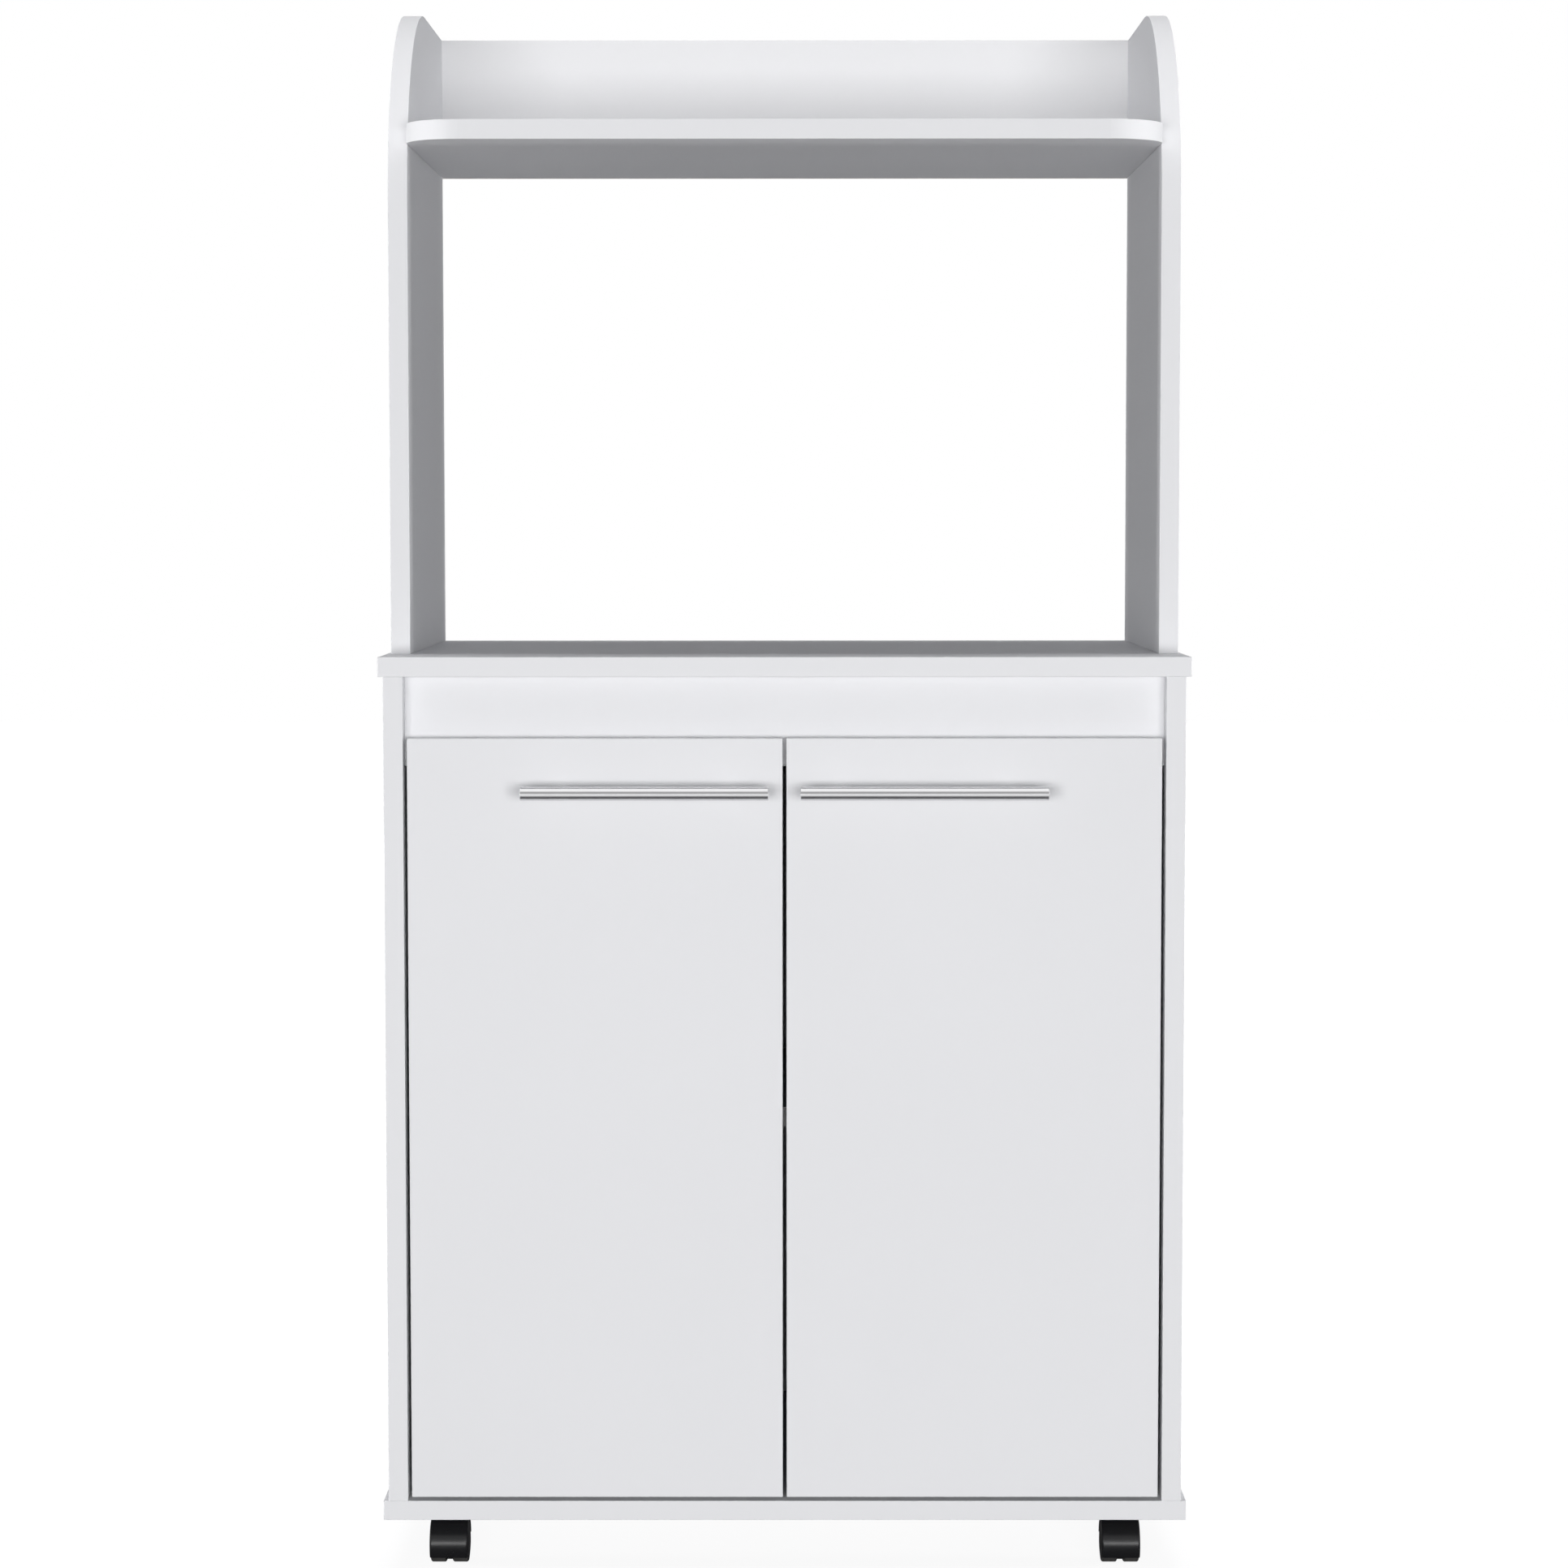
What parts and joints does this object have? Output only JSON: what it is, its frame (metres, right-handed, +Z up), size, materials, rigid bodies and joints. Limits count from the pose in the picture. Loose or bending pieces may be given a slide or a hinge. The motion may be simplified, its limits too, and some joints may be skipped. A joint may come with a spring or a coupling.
{
  "type": "microwave cart",
  "caption": "Rolling microwave cart: two-door cabinet with bar handles under a worktop, and an open hutch with an upper shelf, on swivel casters.",
  "frame": {"origin": "on the floor, under the middle of the cart's overall box", "axes": "+Z up; +Y from the doors to the back panel; +X to the right seen from the front"},
  "size_m": [0.62, 0.415, 1.219],
  "materials": {
    "white_laminate": "satin white melamine",
    "white_hardboard": "smooth white lacquer",
    "handle_steel": "satin",
    "nickel_steel": "nickel plated",
    "zinc_steel": "zinc plated",
    "dowel_beech": "bare",
    "clear_rubber": "soft",
    "caster_black": "gloss",
    "wheel_black": "worn gloss"
  },
  "bodies": {
    "cabinet": {"worktop": "white_laminate", "base_panel": "white_laminate", "cabinet_side_left": "white_laminate", "cabinet_side_right": "white_laminate", "apron": "white_laminate", "cabinet_back": "white_hardboard", "inner_shelf": "white_laminate", "shelf_pins": "zinc_steel", "hutch_side_left": "white_laminate", "hutch_side_right": "white_laminate", "top_shelf": "white_laminate", "hutch_back_rail": "white_hardboard", "dowels": "dowel_beech", "hutch_bolts": "zinc_steel", "cam_bolts": "zinc_steel", "cam_discs": "zinc_steel", "base_screws": "zinc_steel", "panel_nails": "zinc_steel", "door_bumpers": "clear_rubber", "hinge_arms": "nickel_steel", "hinge_plates": "nickel_steel", "hinge_plate_screws": "zinc_steel", "caster_stems": "zinc_steel", "caster_screws": "zinc_steel", "caster_plate_front_left": "zinc_steel", "caster_plate_front_right": "zinc_steel", "caster_plate_rear_left": "zinc_steel", "caster_plate_rear_right": "zinc_steel"},
    "left_links": {"hinge_links_left": "nickel_steel", "hinge_pins_left": "zinc_steel"},
    "left_door": {"door_left": "white_laminate", "handle_bar_left": "handle_steel", "handle_posts_left": "handle_steel", "handle_screws_left": "zinc_steel", "hinge_cups_left": "nickel_steel", "hinge_cup_screws_left": "zinc_steel"},
    "right_links": {"hinge_links_right": "nickel_steel", "hinge_pins_right": "zinc_steel"},
    "right_door": {"door_right": "white_laminate", "handle_bar_right": "handle_steel", "handle_posts_right": "handle_steel", "handle_screws_right": "zinc_steel", "hinge_cups_right": "nickel_steel", "hinge_cup_screws_right": "zinc_steel"},
    "front_left_swivel": {"caster_hood_front_left": "caster_black", "caster_axle_front_left": "zinc_steel"},
    "front_left_wheel_a": {"caster_wheel_a_front_left": "wheel_black"},
    "front_left_wheel_b": {"caster_wheel_b_front_left": "wheel_black"},
    "front_right_swivel": {"caster_hood_front_right": "caster_black", "caster_axle_front_right": "zinc_steel"},
    "front_right_wheel_a": {"caster_wheel_a_front_right": "wheel_black"},
    "front_right_wheel_b": {"caster_wheel_b_front_right": "wheel_black"},
    "rear_left_swivel": {"caster_hood_rear_left": "caster_black", "caster_axle_rear_left": "zinc_steel"},
    "rear_left_wheel_a": {"caster_wheel_a_rear_left": "wheel_black"},
    "rear_left_wheel_b": {"caster_wheel_b_rear_left": "wheel_black"},
    "rear_right_swivel": {"caster_hood_rear_right": "caster_black", "caster_axle_rear_right": "zinc_steel"},
    "rear_right_wheel_a": {"caster_wheel_a_rear_right": "wheel_black"},
    "rear_right_wheel_b": {"caster_wheel_b_rear_right": "wheel_black"}
  },
  "joints": [
    {"name": "left_links_turn", "type": "hinge", "parent": "cabinet", "child": "left_links", "pos_m": [-0.25, -0.1455, 0.3515], "axis": [0, 0, -1], "range_deg": [-43, 0]},
    {"name": "left_door_swing", "type": "hinge", "parent": "left_links", "child": "left_door", "pos_m": [-0.2745, -0.1605, 0.3515], "axis": [0, 0, -1], "range_deg": [0, 138]},
    {"name": "right_links_turn", "type": "hinge", "parent": "cabinet", "child": "right_links", "pos_m": [0.25, -0.1455, 0.3515], "axis": [0, 0, 1], "range_deg": [-43, 0]},
    {"name": "right_door_swing", "type": "hinge", "parent": "right_links", "child": "right_door", "pos_m": [0.2745, -0.1605, 0.3515], "axis": [0, 0, 1], "range_deg": [0, 138]},
    {"name": "front_left_swivel_turn", "type": "hinge", "parent": "cabinet", "child": "front_left_swivel", "pos_m": [-0.262, -0.1205, 0.037], "axis": [0, 0, 1], "continuous": true},
    {"name": "front_left_wheel_a_roll", "type": "hinge", "parent": "front_left_swivel", "child": "front_left_wheel_a", "pos_m": [-0.2705, -0.1325, 0.016], "axis": [1, 0, 0], "continuous": true},
    {"name": "front_left_wheel_b_roll", "type": "hinge", "parent": "front_left_swivel", "child": "front_left_wheel_b", "pos_m": [-0.2535, -0.1325, 0.016], "axis": [1, 0, 0], "continuous": true},
    {"name": "front_right_swivel_turn", "type": "hinge", "parent": "cabinet", "child": "front_right_swivel", "pos_m": [0.262, -0.1205, 0.037], "axis": [0, 0, 1], "continuous": true},
    {"name": "front_right_wheel_a_roll", "type": "hinge", "parent": "front_right_swivel", "child": "front_right_wheel_a", "pos_m": [0.2535, -0.1325, 0.016], "axis": [1, 0, 0], "continuous": true},
    {"name": "front_right_wheel_b_roll", "type": "hinge", "parent": "front_right_swivel", "child": "front_right_wheel_b", "pos_m": [0.2705, -0.1325, 0.016], "axis": [1, 0, 0], "continuous": true},
    {"name": "rear_left_swivel_turn", "type": "hinge", "parent": "cabinet", "child": "rear_left_swivel", "pos_m": [-0.262, 0.1555, 0.037], "axis": [0, 0, 1], "continuous": true},
    {"name": "rear_left_wheel_a_roll", "type": "hinge", "parent": "rear_left_swivel", "child": "rear_left_wheel_a", "pos_m": [-0.2705, 0.1435, 0.016], "axis": [1, 0, 0], "continuous": true},
    {"name": "rear_left_wheel_b_roll", "type": "hinge", "parent": "rear_left_swivel", "child": "rear_left_wheel_b", "pos_m": [-0.2535, 0.1435, 0.016], "axis": [1, 0, 0], "continuous": true},
    {"name": "rear_right_swivel_turn", "type": "hinge", "parent": "cabinet", "child": "rear_right_swivel", "pos_m": [0.262, 0.1555, 0.037], "axis": [0, 0, 1], "continuous": true},
    {"name": "rear_right_wheel_a_roll", "type": "hinge", "parent": "rear_right_swivel", "child": "rear_right_wheel_a", "pos_m": [0.2535, 0.1435, 0.016], "axis": [1, 0, 0], "continuous": true},
    {"name": "rear_right_wheel_b_roll", "type": "hinge", "parent": "rear_right_swivel", "child": "rear_right_wheel_b", "pos_m": [0.2705, 0.1435, 0.016], "axis": [1, 0, 0], "continuous": true}
  ],
  "couplings": [
    {"joint": "left_links_turn", "follows": "left_door_swing", "ratio": -0.3115},
    {"joint": "right_links_turn", "follows": "right_door_swing", "ratio": -0.3115}
  ]
}
